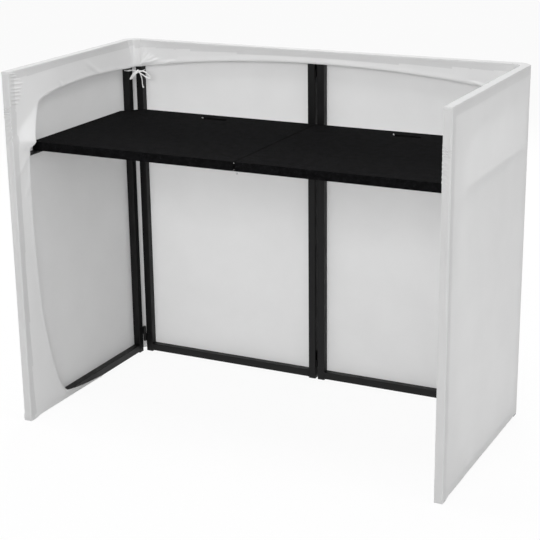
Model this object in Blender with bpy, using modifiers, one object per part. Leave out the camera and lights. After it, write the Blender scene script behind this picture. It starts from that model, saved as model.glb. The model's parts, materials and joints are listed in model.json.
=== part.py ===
# Folding performance stand: four hinged tube frames in a U, a stretch cloth cover and a two-part tabletop.
# The front lies along X on the +Y side, the user stands on the -Y side, and +Z is up.
import math

import bmesh
import bpy
from mathutils import Matrix, Vector

COLLECTION_NAME = "dj_stand"

# Driving sizes of the frames, in metres
TUBE = 0.025
TUBE_WALL = 0.0015
TUBE_EDGE_RADIUS = 0.0015
CROSS_RAIL_HEIGHT = 0.006
CROSS_RAIL_EDGE_RADIUS = 0.0008
POST_LENGTH = 1.1341
FACADE_PANEL_WIDTH = 0.677
WING_PANEL_WIDTH = 0.707

# Clearance between two pieces that touch on the real stand
GAP = 0.0003

# Foot caps
FOOT_HEIGHT = 0.004
FOOT_INSERT_LENGTH = 0.014
FOOT_EDGE_RADIUS = 0.001

# Hinges: distance from each axis to the faces of the posts beside it
CORNER_OFFSET = 0.0043
MIDDLE_SIDE_OFFSET = 0.0043
MIDDLE_OUTER_OFFSET = 0.0022
CORNER_KNUCKLE_RADIUS = 0.0055
MIDDLE_KNUCKLE_RADIUS = 0.0043
PIN_RADIUS = 0.0022
PIN_CLEARANCE = 0.0004
KNUCKLE_HEIGHT = 0.0275
PIN_LENGTH = 0.022
HINGE_LEAF_LENGTH = 0.022
HINGE_LEAF_THICKNESS = 0.0024
HINGE_INSET = 0.035
ROUND_STEPS = 24

# Cloth cover
CLOTH = 0.001
COVER_BOTTOM = 0.005
COVER_MIDDLE_MARGIN = 0.0013
FACADE_BAND_MIDDLE = 0.043
FACADE_BAND_CORNER = 0.095
FACADE_BAND_POINTS = 16
BAND_HINGE_CLEARANCE = 0.004
CUTTER_OVERRUN = 0.05

# Hem of a wing's inside flap: distance from the near end of the wing, drop from the top of the cover
WING_HEM = [
    (0.720, 0.0980),
    (0.640, 0.0930),
    (0.450, 0.0860),
    (0.290, 0.0920),
    (0.190, 0.1040),
    (0.145, 0.1270),
    (0.112, 0.1780),
    (0.086, 0.2450),
    (0.079, 0.3600),
    (0.083, 0.5600),
    (0.101, 0.7900),
    (0.140, 0.9700),
    (0.190, 1.0880),
    (0.250, 1.1170),
    (0.430, 1.1350),
]
WING_HEM_STEPS = 3

# Tabletop
TABLE_HEIGHT = 0.898
BOARD_THICKNESS = 0.0245
CARPET = 0.0035
TABLE_FRONT_SETBACK = 0.133
TABLE_REAR_CLEARANCE = 0.002
TABLE_END_CLEARANCE = 0.002
TABLE_CORNER_CLEARANCE = 0.0025
SEAM_HALF_GAP = 0.0006
SLOT_LENGTH = 0.090
SLOT_WIDTH = 0.026
SLOT_FROM_REAR = 0.060
SLOT_END_SEGMENTS = 6

# Barrel bolt under the seam
BOLT_RADIUS = 0.004
BOLT_CLEARANCE = 0.0004
BOLT_FROM_FRONT = 0.060
BOLT_PLATE_THICKNESS = 0.0018
BOLT_PLATE_WIDTH = 0.034
BOLT_GUIDE_SIZE = 0.014
BOLT_GUIDE_LENGTH = 0.012
BOLT_GUIDE_SPACING = 0.044
BOLT_FROM_SEAM = 0.006
BOLT_REACH = 0.021
BOLT_TAIL = 0.006
BOLT_KNOB_RADIUS = 0.003
BOLT_KNOB_LENGTH = 0.016
BOLT_KNOB_PLAY = 0.0012

# Brackets on the middle posts
BRACKET_THICKNESS = 0.003
BRACKET_DROP = 0.060
BRACKET_REACH = 0.090
BRACKET_SCREW_INSET = 0.015
BRACKET_SCREW_SPACING = 0.028
SCREW_RADIUS = 0.002
SCREW_LENGTH = 0.010
SCREW_HEAD_RADIUS = 0.004
SCREW_HEAD_HEIGHT = 0.0024
SCREW_STEPS = 16

# Tie strings at the rear corners, knotted in front of the gap between the posts
STRING_RADIUS = 0.0017
STRING_STEPS = 3
TIE_ROOM = 0.1501
KNOT_SHARE = 0.8175
KNOT_RADIUS = 0.0065
KNOT_CLEARANCE = 0.0005

# Free runs of the strings from the knot: towards the middle of the stand, towards the user, down.
# They are drawn for TIE_ROOM between the tabletop and the high hinge, and hang shorter in less.
TIE_LOOP = [
    (0.000, 0.000, 0.000),
    (0.012, 0.000, -0.005),
    (0.030, 0.000, -0.006),
    (0.050, 0.001, 0.004),
    (0.066, 0.002, 0.018),
    (0.063, 0.004, 0.024),
    (0.045, 0.005, 0.017),
    (0.026, 0.004, 0.008),
    (0.011, 0.003, 0.002),
    (0.000, 0.000, 0.000),
]
TIE_LONG_TAIL = [
    (0.000, 0.000, 0.000),
    (0.009, 0.004, 0.005),
    (0.022, 0.006, 0.019),
    (0.029, 0.005, 0.037),
    (0.035, 0.006, 0.048),
    (0.033, 0.007, 0.060),
]
TIE_SHORT_TAIL = [
    (0.000, 0.000, 0.000),
    (-0.006, 0.013, 0.003),
    (-0.010, 0.028, 0.008),
    (-0.011, 0.043, 0.016),
]

# Places worked out from the sizes above
FRONT_EXTENT = TUBE + 2 * CORNER_OFFSET + WING_PANEL_WIDTH + GAP + CLOTH
REAR_EXTENT = MIDDLE_OUTER_OFFSET + MIDDLE_KNUCKLE_RADIUS
FACADE_OUTER_Y = (FRONT_EXTENT - REAR_EXTENT) / 2
FACADE_INNER_Y = FACADE_OUTER_Y - TUBE
AXIS_Y = FACADE_INNER_Y - CORNER_OFFSET
AXIS_X = MIDDLE_SIDE_OFFSET + FACADE_PANEL_WIDTH + CORNER_OFFSET
MIDDLE_AXIS_Y = FACADE_OUTER_Y + MIDDLE_OUTER_OFFSET
WING_INNER_X = AXIS_X + CORNER_OFFSET
WING_OUTER_X = WING_INNER_X + TUBE
WING_REAR_Y = AXIS_Y - CORNER_OFFSET
WING_NEAR_Y = WING_REAR_Y - WING_PANEL_WIDTH
POST_BOTTOM = FOOT_HEIGHT + GAP
POST_TOP = POST_BOTTOM + POST_LENGTH
COVER_TOP = POST_TOP + GAP + CLOTH
TABLE_BOTTOM = TABLE_HEIGHT - CARPET - BOARD_THICKNESS - GAP
CROSS_RAIL_TOP = TABLE_BOTTOM - GAP
TABLE_FRONT_Y = WING_NEAR_Y + TABLE_FRONT_SETBACK
TABLE_REAR_Y = FACADE_INNER_Y - TABLE_REAR_CLEARANCE
TABLE_END_X = WING_OUTER_X - TABLE_END_CLEARANCE
TABLE_CORNER_CUT = WING_INNER_X + WING_REAR_Y - TUBE - math.sqrt(2) * TABLE_CORNER_CLEARANCE
HALF_TUBE = TUBE / 2
FACADE_Y = FACADE_OUTER_Y - HALF_TUBE
MIDDLE_POST_X = MIDDLE_SIDE_OFFSET + HALF_TUBE
CORNER_POST_X = MIDDLE_SIDE_OFFSET + FACADE_PANEL_WIDTH - HALF_TUBE
WING_X = WING_OUTER_X - HALF_TUBE
NEAR_POST_Y = WING_NEAR_Y + HALF_TUBE
REAR_POST_Y = WING_REAR_Y - HALF_TUBE

SIDES = {"left": -1, "right": 1}
AXES = ((1, 0, 0), (0, 1, 0), (0, 0, 1))


def clear_scene():
    for old in list(bpy.data.objects):
        bpy.data.objects.remove(old)


def new_collection(name):
    collection = bpy.data.collections.new(name)
    bpy.context.scene.collection.children.link(collection)
    return collection


def make_material(name, colour, roughness, metallic=0.0):
    material = bpy.data.materials.new(name)
    material.use_nodes = True
    shader = material.node_tree.nodes["Principled BSDF"]
    shader.inputs["Base Color"].default_value = (*colour, 1.0)
    shader.inputs["Roughness"].default_value = roughness
    shader.inputs["Metallic"].default_value = metallic
    return material


def add_object(name, mesh, collection, material=None, parent=None):
    thing = bpy.data.objects.new(name, mesh)
    collection.objects.link(thing)
    if material is not None:
        mesh.materials.append(material)
    if parent is not None:
        thing.parent = parent
        thing.matrix_parent_inverse = Matrix.Translation(-parent.location)
    return thing


def add_axis(name, location, collection, parent=None):
    """Empty on a joint's axis, which carries the pieces that move about it."""
    empty = add_object(name, None, collection, parent=parent)
    empty.location = location
    return empty


def box_mesh(name, low, high):
    size = [b - a for a, b in zip(low, high)]
    centre = [(a + b) / 2 for a, b in zip(low, high)]
    shape = bmesh.new()
    bmesh.ops.create_cube(shape, size=1.0, matrix=Matrix.Translation(centre) @ Matrix.Diagonal((*size, 1.0)))
    mesh = bpy.data.meshes.new(name)
    shape.to_mesh(mesh)
    shape.free()
    return mesh


def ordered(low, high):
    """Corners with each low value below its high value, whichever side of the stand they are on."""
    return [min(a, b) for a, b in zip(low, high)], [max(a, b) for a, b in zip(low, high)]


def add_box(name, low, high, collection, material=None, parent=None):
    low, high = ordered(low, high)
    return add_object(name, box_mesh(name, low, high), collection, material, parent)


def add_rod(name, start, end, radius, steps, collection, material=None, parent=None):
    """Cylinder from one point to another."""
    run = Vector(end) - Vector(start)
    turn = run.to_track_quat("Z", "Y").to_matrix().to_4x4()
    place = Matrix.Translation((Vector(start) + Vector(end)) / 2) @ turn
    shape = bmesh.new()
    bmesh.ops.create_cone(
        shape, cap_ends=True, segments=steps, radius1=radius, radius2=radius, depth=run.length, matrix=place
    )
    mesh = bpy.data.meshes.new(name)
    shape.to_mesh(mesh)
    shape.free()
    smooth(mesh)
    return add_object(name, mesh, collection, material, parent)


def smooth(mesh):
    mesh.shade_smooth()
    mesh.set_sharp_from_angle(angle=math.radians(35))


def boolean(target, tool, operation):
    modifier = target.modifiers.new(operation.lower(), "BOOLEAN")
    modifier.operation = operation
    modifier.solver = "EXACT"
    modifier.object = tool
    tool.hide_render = True
    tool.display_type = "WIRE"


def cut(target, tool):
    boolean(target, tool, "DIFFERENCE")


def join(target, tool):
    boolean(target, tool, "UNION")


def bevel(target, width, segments):
    modifier = target.modifiers.new("bevel", "BEVEL")
    modifier.width = width
    modifier.segments = segments
    modifier.limit_method = "ANGLE"
    modifier.angle_limit = math.radians(40)


def curve_to_mesh(curve, name):
    """Plain closed mesh with the curve's evaluated shape, its loose caps welded."""
    guide = bpy.data.objects.new(name + "_guide", curve)
    bpy.context.scene.collection.objects.link(guide)
    bpy.context.view_layer.update()
    graph = bpy.context.evaluated_depsgraph_get()
    mesh = bpy.data.meshes.new_from_object(guide.evaluated_get(graph))
    mesh.name = name
    mesh.transform(guide.matrix_world)
    bpy.data.objects.remove(guide)
    weld(mesh)
    return mesh


def weld(mesh):
    """Joins coincident points and turns every face outwards."""
    shape = bmesh.new()
    shape.from_mesh(mesh)
    bmesh.ops.remove_doubles(shape, verts=shape.verts, dist=0.00001)
    bmesh.ops.recalc_face_normals(shape, faces=shape.faces)
    shape.to_mesh(mesh)
    shape.free()


def add_plate(name, outline, axis, low, high, collection, material=None, parent=None):
    """Flat plate whose thickness runs along the axis (0, 1 or 2) from low to high.

    The outline holds the other two coordinates in their order."""
    curve = bpy.data.curves.new(name, "CURVE")
    curve.dimensions = "2D"
    curve.fill_mode = "BOTH"
    curve.extrude = abs(high - low) / 2
    spline = curve.splines.new("POLY")
    spline.points.add(len(outline) - 1)
    for point, (first, second) in zip(spline.points, outline):
        point.co = (first, second, 0, 1)
    spline.use_cyclic_u = True
    mesh = curve_to_mesh(curve, name)
    first_way, second_way = [Vector(AXES[other]) for other in range(3) if other != axis]
    thickness_way = Vector(AXES[axis])
    turn = Matrix((first_way, second_way, thickness_way)).transposed().to_4x4()
    mesh.transform(Matrix.Translation(thickness_way * (low + high) / 2) @ turn)
    weld(mesh)
    return add_object(name, mesh, collection, material, parent)


def add_string(name, points, radius, collection, material=None, parent=None):
    """Round string along the points, with filled ends."""
    curve = bpy.data.curves.new(name, "CURVE")
    curve.dimensions = "3D"
    curve.bevel_depth = radius
    curve.bevel_resolution = 2
    curve.use_fill_caps = True
    spline = curve.splines.new("POLY")
    spline.points.add(len(points) - 1)
    for point, place in zip(spline.points, points):
        point.co = (*place, 1)
    return add_object(name, curve_to_mesh(curve, name), collection, material, parent)


def smooth_path(points, steps):
    """Points of a smooth curve through the given points."""
    ends = [points[0], *points, points[-1]]
    path = []
    for before, start, end, after in zip(ends, ends[1:], ends[2:], ends[3:]):
        for step in range(steps):
            t = step / steps
            path.append(tuple(catmull(a, b, c, d, t) for a, b, c, d in zip(before, start, end, after)))
    path.append(tuple(points[-1]))
    return path


def catmull(a, b, c, d, t):
    return 0.5 * (2 * b + (c - a) * t + (2 * a - 5 * b + 4 * c - d) * t * t + (3 * b - a - 3 * c + d) * t**3)


def add_square_tube(name, low, high, axis, material, parent):
    """Hollow square tube with open ends, its length along axis 0, 1 or 2."""
    low, high = ordered(low, high)
    tube = add_object(name, box_mesh(name, low, high), parts, material, parent)
    shape = bmesh.new()
    shape.from_mesh(tube.data)
    shape.normal_update()
    ends = [face for face in shape.faces if abs(face.normal[axis]) > 0.9]
    bmesh.ops.delete(shape, geom=ends, context="FACES_ONLY")
    shape.to_mesh(tube.data)
    shape.free()
    bevel(tube, TUBE_EDGE_RADIUS, 2)
    wall = tube.modifiers.new("wall", "SOLIDIFY")
    wall.thickness = TUBE_WALL
    wall.offset = -1
    wall.use_even_offset = True
    smooth(tube.data)
    return tube


def add_post(name, centre_x, centre_y, parent):
    half = TUBE / 2
    low = (centre_x - half, centre_y - half, POST_BOTTOM)
    high = (centre_x + half, centre_y + half, POST_TOP)
    return add_square_tube(name, low, high, 2, steel, parent)


def add_foot_cap(name, centre_x, centre_y, parent):
    half = TUBE / 2
    inside = half - TUBE_WALL - GAP
    cap = add_box(
        name,
        (centre_x - half, centre_y - half, 0),
        (centre_x + half, centre_y + half, FOOT_HEIGHT),
        parts, plastic, parent,
    )
    bevel(cap, FOOT_EDGE_RADIUS, 2)
    insert = add_box(
        name + "_insert",
        (centre_x - inside, centre_y - inside, FOOT_HEIGHT / 2),
        (centre_x + inside, centre_y + inside, FOOT_HEIGHT + FOOT_INSERT_LENGTH),
        cutters,
    )
    join(cap, insert)


def add_frame(panel, first, last, along, across, parent, cross_rail=False):
    """Posts, rails and foot caps of one frame.

    first and last name the two posts, along gives their centres on the frame's own line,
    and across is the frame's place on the other axis. Wings run along Y, the front along X."""
    is_wing = "wing" in panel
    half = TUBE / 2
    inner = sorted(along)
    rail_start = inner[0] + half + GAP
    rail_end = inner[1] - half - GAP
    for post, place in zip((first, last), along):
        x, y = (across, place) if is_wing else (place, across)
        add_post(f"{panel}_{post}_post", x, y, parent)
        add_foot_cap(f"{panel}_{post}_foot_cap", x, y, parent)
    rails = {"top_rail": (POST_TOP - TUBE, POST_TOP), "bottom_rail": (POST_BOTTOM, POST_BOTTOM + TUBE)}
    if cross_rail:
        rails["cross_rail"] = (CROSS_RAIL_TOP - CROSS_RAIL_HEIGHT, CROSS_RAIL_TOP)
    for rail, (bottom, top) in rails.items():
        if is_wing:
            low = (across - half, rail_start, bottom)
            high = (across + half, rail_end, top)
        else:
            low = (rail_start, across - half, bottom)
            high = (rail_end, across + half, top)
        if rail == "cross_rail":
            flat_bar = add_box(f"{panel}_{rail}", low, high, parts, steel, parent)
            bevel(flat_bar, CROSS_RAIL_EDGE_RADIUS, 2)
        else:
            add_square_tube(f"{panel}_{rail}", low, high, 1 if is_wing else 0, steel, parent)


def knuckle_profile(radius, has_pin):
    """Outline of a knuckle from its top on the axis, down its outer side, to its bottom on the axis."""
    foot = [(radius, KNUCKLE_HEIGHT), (radius, 0), (0, 0)]
    if not has_pin:
        return [(0, KNUCKLE_HEIGHT), *foot]
    pin_top = KNUCKLE_HEIGHT + PIN_LENGTH
    return [(0, pin_top), (PIN_RADIUS, pin_top), (PIN_RADIUS, KNUCKLE_HEIGHT), *foot]


def add_turned(name, profile, place, material, parent):
    """Turned shape about +Z from a profile of radius and height."""
    mesh = bpy.data.meshes.new(name)
    points = [(radius, 0, height) for radius, height in profile]
    mesh.from_pydata(points, [(i, i + 1) for i in range(len(points) - 1)], [])
    turned = add_object(name, mesh, parts, material, parent)
    turned.location = place
    screw = turned.modifiers.new("turn", "SCREW")
    screw.axis = "Z"
    screw.angle = 2 * math.pi
    screw.steps = ROUND_STEPS
    screw.render_steps = ROUND_STEPS
    screw.use_merge_vertices = True
    screw.merge_threshold = 0.00001
    screw.use_smooth_shade = True
    return turned


def add_knuckle(name, axis_x, axis_y, bottom, radius, has_pin, leaf_low, leaf_high, parent):
    knuckle = add_turned(name, knuckle_profile(radius, has_pin), (axis_x, axis_y, bottom), steel, parent)
    leaf = add_box(name + "_leaf", (*leaf_low, bottom), (*leaf_high, bottom + KNUCKLE_HEIGHT), cutters)
    join(knuckle, leaf)
    if not has_pin:
        start = (axis_x, axis_y, bottom - KNUCKLE_HEIGHT)
        end = (axis_x, axis_y, bottom + PIN_LENGTH + PIN_CLEARANCE)
        bore = add_rod(name + "_bore", start, end, PIN_RADIUS + PIN_CLEARANCE, ROUND_STEPS, cutters)
        cut(knuckle, bore)


def add_corner_hinges(side_name, facade_parent, wing_parent):
    side = SIDES[side_name]
    axis_x = side * AXIS_X
    face = CORNER_OFFSET - GAP
    facade_leaf = (
        (axis_x, AXIS_Y + face - HINGE_LEAF_THICKNESS),
        (axis_x - side * HINGE_LEAF_LENGTH, AXIS_Y + face),
    )
    wing_leaf = (
        (axis_x + side * (face - HINGE_LEAF_THICKNESS), AXIS_Y),
        (axis_x + side * face, AXIS_Y - HINGE_LEAF_LENGTH),
    )
    radius = CORNER_KNUCKLE_RADIUS
    for level, bottom in hinge_levels().items():
        name = f"{side_name}_corner_{level}_hinge"
        upper = bottom + KNUCKLE_HEIGHT + GAP
        add_knuckle(name + "_pin", axis_x, AXIS_Y, bottom, radius, True, *facade_leaf, facade_parent)
        add_knuckle(name + "_sleeve", axis_x, AXIS_Y, upper, radius, False, *wing_leaf, wing_parent)


def add_middle_hinges(left_parent, right_parent):
    face = MIDDLE_SIDE_OFFSET - GAP
    for level, bottom in hinge_levels().items():
        for side, has_pin, parent in ((-1, True, left_parent), (1, False, right_parent)):
            leaf_low = (side * (face - HINGE_LEAF_THICKNESS), MIDDLE_AXIS_Y)
            leaf_high = (side * face, MIDDLE_AXIS_Y - HINGE_LEAF_LENGTH)
            kind = "pin" if has_pin else "sleeve"
            start = bottom if has_pin else bottom + KNUCKLE_HEIGHT + GAP
            add_knuckle(
                f"middle_{level}_hinge_{kind}",
                0, MIDDLE_AXIS_Y, start, MIDDLE_KNUCKLE_RADIUS, has_pin, leaf_low, leaf_high, parent,
            )


def hinge_levels():
    """Bottoms of the low and the high hinge, each the same distance from the end of the posts."""
    height = 2 * KNUCKLE_HEIGHT + GAP
    return {"low": POST_BOTTOM + HINGE_INSET, "high": POST_TOP - HINGE_INSET - height}


def add_facade_cover(side_name, parent):
    side = SIDES[side_name]
    near_x = side * (MIDDLE_SIDE_OFFSET + COVER_MIDDLE_MARGIN)
    far_x = side * (AXIS_X - CORNER_OFFSET)
    inner_y = FACADE_INNER_Y - GAP
    outer_y = FACADE_OUTER_Y + GAP
    cover = add_box(
        f"facade_{side_name}_cover",
        (near_x, inner_y - CLOTH, COVER_BOTTOM),
        (far_x, outer_y + CLOTH, COVER_TOP),
        parts, cloth, parent,
    )
    hollow = add_box(
        f"facade_{side_name}_cover_hollow",
        (near_x - side * CUTTER_OVERRUN, inner_y, -CUTTER_OVERRUN),
        (far_x + side * CUTTER_OVERRUN, outer_y, COVER_TOP - CLOTH),
        cutters,
    )
    cut(cover, hollow)
    band_end = AXIS_X - HINGE_LEAF_LENGTH - BAND_HINGE_CLEARANCE
    start = MIDDLE_SIDE_OFFSET
    outline = []
    for step in range(FACADE_BAND_POINTS + 1):
        x = start + (band_end - start) * step / FACADE_BAND_POINTS
        drop = FACADE_BAND_MIDDLE + (FACADE_BAND_CORNER - FACADE_BAND_MIDDLE) * (x / AXIS_X) ** 2
        outline.append((x, COVER_TOP - drop))
    corner_top = COVER_TOP - CLOTH - GAP
    outline += [
        (band_end, corner_top),
        (AXIS_X + CUTTER_OVERRUN, corner_top),
        (AXIS_X + CUTTER_OVERRUN, -CUTTER_OVERRUN),
        (start - CUTTER_OVERRUN / 2, -CUTTER_OVERRUN),
        (start - CUTTER_OVERRUN / 2, COVER_TOP - FACADE_BAND_MIDDLE),
    ]
    outline = [(side * x, z) for x, z in outline]
    cut(cover, add_plate(cover.name + "_opening", outline, 1, inner_y - 2 * CLOTH, FACADE_Y, cutters))


def add_wing_cover(side_name, parent):
    side = SIDES[side_name]
    inner_x = WING_INNER_X - GAP
    outer_x = WING_OUTER_X + GAP
    near_y = WING_NEAR_Y - GAP
    cover = add_box(
        f"{side_name}_wing_cover",
        (side * (inner_x - CLOTH), near_y - CLOTH, COVER_BOTTOM),
        (side * (outer_x + CLOTH), WING_REAR_Y, COVER_TOP),
        parts, cloth, parent,
    )
    hollow = add_box(
        f"{side_name}_wing_cover_hollow",
        (side * inner_x, near_y, -CUTTER_OVERRUN),
        (side * outer_x, WING_REAR_Y + CUTTER_OVERRUN, COVER_TOP - CLOTH),
        cutters,
    )
    cut(cover, hollow)
    flap_end = WING_PANEL_WIDTH - (HINGE_LEAF_LENGTH - CORNER_OFFSET) - BAND_HINGE_CLEARANCE
    hem = [point for point in smooth_path(WING_HEM, WING_HEM_STEPS) if point[0] < flap_end]
    outline = [(WING_NEAR_Y + reach, COVER_TOP - drop) for reach, drop in hem]
    corner_top = COVER_TOP - CLOTH - GAP
    outline += [
        (outline[-1][0], -CUTTER_OVERRUN),
        (WING_REAR_Y + CUTTER_OVERRUN, -CUTTER_OVERRUN),
        (WING_REAR_Y + CUTTER_OVERRUN, corner_top),
        (WING_NEAR_Y + flap_end, corner_top),
        (WING_NEAR_Y + flap_end, outline[0][1]),
    ]
    low, high = side * (inner_x - 2 * CLOTH), side * WING_X
    cut(cover, add_plate(cover.name + "_opening", outline, 0, low, high, cutters))


def table_outline(side, inset=0.0):
    """Outline of one half of the tabletop, drawn inwards by inset. Its rear corner is cut off at 45 degrees,
    along the line where x + y is the cut, to clear the wing's rear post."""
    seam = SEAM_HALF_GAP + inset
    end = TABLE_END_X - inset
    front = TABLE_FRONT_Y + inset
    rear = TABLE_REAR_Y - inset
    cut_off = TABLE_CORNER_CUT - math.sqrt(2) * inset
    corners = [(seam, front), (end, front), (end, cut_off - end), (cut_off - rear, rear), (seam, rear)]
    return [(side * x, y) for x, y in corners]


def slot_outline(side):
    """Outline of a cable slot with round ends."""
    radius = SLOT_WIDTH / 2
    centre_x = side * (SEAM_HALF_GAP + WING_INNER_X - TABLE_CORNER_CLEARANCE) / 2
    centre_y = TABLE_REAR_Y - SLOT_FROM_REAR
    reach = SLOT_LENGTH / 2 - radius
    outline = []
    for end in (1, -1):
        for step in range(SLOT_END_SEGMENTS + 1):
            angle = math.pi * (step / SLOT_END_SEGMENTS - 0.5)
            x = centre_x + end * (reach + radius * math.cos(angle))
            outline.append((x, centre_y + end * radius * math.sin(angle)))
    return outline


def add_table_half(side_name, parent):
    side = SIDES[side_name]
    name = f"tabletop_{side_name}"
    below = TABLE_BOTTOM - CUTTER_OVERRUN
    board_top = TABLE_BOTTOM + BOARD_THICKNESS
    board_outline = table_outline(side, CARPET + GAP)
    board = add_plate(name + "_board", board_outline, 2, TABLE_BOTTOM, board_top, parts, wood, parent)
    outline = table_outline(side)
    skin = add_plate(name + "_carpet", outline, 2, TABLE_BOTTOM, TABLE_HEIGHT, parts, carpet, parent)
    pocket_outline = table_outline(side, CARPET)
    cut(skin, add_plate(name + "_pocket", pocket_outline, 2, below, TABLE_HEIGHT - CARPET, cutters))
    slot = add_plate(name + "_slot", slot_outline(side), 2, below, TABLE_HEIGHT + CUTTER_OVERRUN, cutters)
    cut(board, slot)
    cut(skin, slot)


def bolt_centre():
    """Place of the bolt's axis in Y and Z."""
    plate_top = TABLE_BOTTOM - GAP
    return TABLE_FRONT_Y + BOLT_FROM_FRONT, plate_top - BOLT_PLATE_THICKNESS - BOLT_GUIDE_SIZE / 2


def add_bolt_plate(name, guide_starts, low_x, high_x, parent):
    """Plate under a board with one square guide for each start."""
    centre_y, centre_z = bolt_centre()
    top = TABLE_BOTTOM - GAP
    half = BOLT_GUIDE_SIZE / 2
    plate = add_box(
        name,
        (low_x, centre_y - BOLT_PLATE_WIDTH / 2, top - BOLT_PLATE_THICKNESS),
        (high_x, centre_y + BOLT_PLATE_WIDTH / 2, top),
        parts, zinc, parent,
    )
    for number, start in enumerate(guide_starts):
        guide = add_box(
            f"{name}_guide_{number}",
            (start, centre_y - half, centre_z - half),
            (start + BOLT_GUIDE_LENGTH, centre_y + half, top - BOLT_PLATE_THICKNESS / 2),
            cutters,
        )
        join(plate, guide)
    bore = add_rod(
        name + "_bore",
        (low_x - CUTTER_OVERRUN, centre_y, centre_z),
        (high_x + CUTTER_OVERRUN, centre_y, centre_z),
        BOLT_RADIUS + BOLT_CLEARANCE, ROUND_STEPS, cutters,
    )
    cut(plate, bore)


def add_table_bolt(table_parent, bolt_parent):
    centre_y, centre_z = bolt_centre()
    near_guide = -BOLT_FROM_SEAM - BOLT_GUIDE_LENGTH
    far_guide = near_guide - BOLT_GUIDE_SPACING
    edge = BOLT_FROM_SEAM / 2
    housing_end = far_guide - BOLT_FROM_SEAM
    keeper_end = 2 * BOLT_FROM_SEAM + BOLT_GUIDE_LENGTH
    add_bolt_plate("table_bolt_housing", (near_guide, far_guide), housing_end, -edge, table_parent)
    add_bolt_plate("table_bolt_keeper", (BOLT_FROM_SEAM,), edge, keeper_end, table_parent)
    rod = add_rod(
        "table_bolt",
        (far_guide - BOLT_TAIL, centre_y, centre_z),
        (BOLT_REACH, centre_y, centre_z),
        BOLT_RADIUS, ROUND_STEPS, parts, zinc, bolt_parent,
    )
    knob_x = near_guide - BOLT_KNOB_PLAY - BOLT_KNOB_RADIUS
    knob = add_rod(
        "table_bolt_knob",
        (knob_x, centre_y, centre_z),
        (knob_x, centre_y, centre_z - BOLT_KNOB_LENGTH),
        BOLT_KNOB_RADIUS, SCREW_STEPS, cutters,
    )
    join(rod, knob)


def add_middle_bracket(side_name, post, parent):
    """Angle under the rear of a board, with two screws into the middle post."""
    side = SIDES[side_name]
    inner_x = side * MIDDLE_SIDE_OFFSET
    outer_x = side * (MIDDLE_SIDE_OFFSET + TUBE)
    back_y = FACADE_INNER_Y - GAP
    top = TABLE_BOTTOM - GAP
    bracket = add_box(
        f"{side_name}_middle_bracket",
        (inner_x, back_y - BRACKET_THICKNESS, top - BRACKET_DROP),
        (outer_x, back_y, top),
        parts, steel, parent,
    )
    arm = add_box(
        f"{side_name}_middle_bracket_arm",
        (inner_x, back_y - BRACKET_REACH, top - BRACKET_THICKNESS),
        (outer_x, back_y - BRACKET_THICKNESS / 2, top),
        cutters,
    )
    join(bracket, arm)
    centre_x = (inner_x + outer_x) / 2
    for number, level in enumerate(("lower", "upper")):
        height = top - BRACKET_DROP + BRACKET_SCREW_INSET + number * BRACKET_SCREW_SPACING
        hole = add_rod(
            f"{side_name}_bracket_{level}_hole",
            (centre_x, back_y + SCREW_LENGTH, height),
            (centre_x, back_y - SCREW_LENGTH, height),
            SCREW_RADIUS + GAP, SCREW_STEPS, cutters,
        )
        cut(bracket, hole)
        cut(post, hole)
        head_face = back_y - BRACKET_THICKNESS - GAP
        screw = add_rod(
            f"{side_name}_bracket_{level}_screw",
            (centre_x, head_face, height),
            (centre_x, head_face - SCREW_HEAD_HEIGHT, height),
            SCREW_HEAD_RADIUS, SCREW_STEPS, parts, zinc, parent,
        )
        shank = add_rod(
            f"{side_name}_bracket_{level}_shank",
            (centre_x, head_face - SCREW_HEAD_HEIGHT / 2, height),
            (centre_x, head_face + SCREW_LENGTH, height),
            SCREW_RADIUS, SCREW_STEPS, cutters,
        )
        join(screw, shank)


def round_edge(off):
    """Steps of a string round a square edge, as distances before the edge on each of its two faces."""
    diagonal = off * math.sqrt(0.5)
    return [(2 * off, -off), (0, -off), (-diagonal, -diagonal), (-off, 0), (-off, 2 * off), (-off, HALF_TUBE)]


def tie_routes(side):
    """Routes of a corner's strings: round the wing's post, round the front's post, a loop and two tails."""
    room = hinge_levels()["high"] - TABLE_HEIGHT
    height = TABLE_HEIGHT + KNOT_SHARE * room
    hang = room / TIE_ROOM
    off = STRING_RADIUS + 2 * GAP
    knot_reach = KNOT_RADIUS + KNOT_CLEARANCE
    knot = (AXIS_X - CORNER_KNUCKLE_RADIUS - knot_reach, AXIS_Y - CORNER_KNUCKLE_RADIUS - knot_reach, height)
    wing_edge_y = WING_REAR_Y - TUBE
    front_edge_x = AXIS_X - CORNER_OFFSET - TUBE
    round_wing = [knot, (WING_INNER_X - 2 * off, REAR_POST_Y, height + STRING_RADIUS)]
    round_front = [knot, (CORNER_POST_X, FACADE_INNER_Y - 2 * off, height + STRING_RADIUS)]
    for along, across in round_edge(off):
        round_wing.append((WING_INNER_X + across, wing_edge_y + along, height + STRING_RADIUS))
        round_front.append((front_edge_x + along, FACADE_INNER_Y + across, height + STRING_RADIUS))
    routes = [round_wing, round_front]
    for run in (TIE_LOOP, TIE_LONG_TAIL, TIE_SHORT_TAIL):
        routes.append([(knot[0] - inwards, knot[1] - near, knot[2] - hang * down) for inwards, near, down in run])
    return [[(side * x, y, z) for x, y, z in smooth_path(route, STRING_STEPS)] for route in routes]


def add_tie(side_name, parent):
    name = f"{side_name}_corner_tie"
    routes = tie_routes(SIDES[side_name])
    shape = bmesh.new()
    place = Matrix.Translation(routes[0][0])
    bmesh.ops.create_uvsphere(shape, u_segments=12, v_segments=8, radius=KNOT_RADIUS, matrix=place)
    mesh = bpy.data.meshes.new(name)
    shape.to_mesh(mesh)
    shape.free()
    smooth(mesh)
    tie = add_object(name, mesh, parts, cloth, parent)
    for number, route in enumerate(routes):
        join(tie, add_string(f"{name}_run_{number}", route, STRING_RADIUS, cutters))


clear_scene()
parts = new_collection(COLLECTION_NAME)
cutters = new_collection("cutters")

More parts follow.
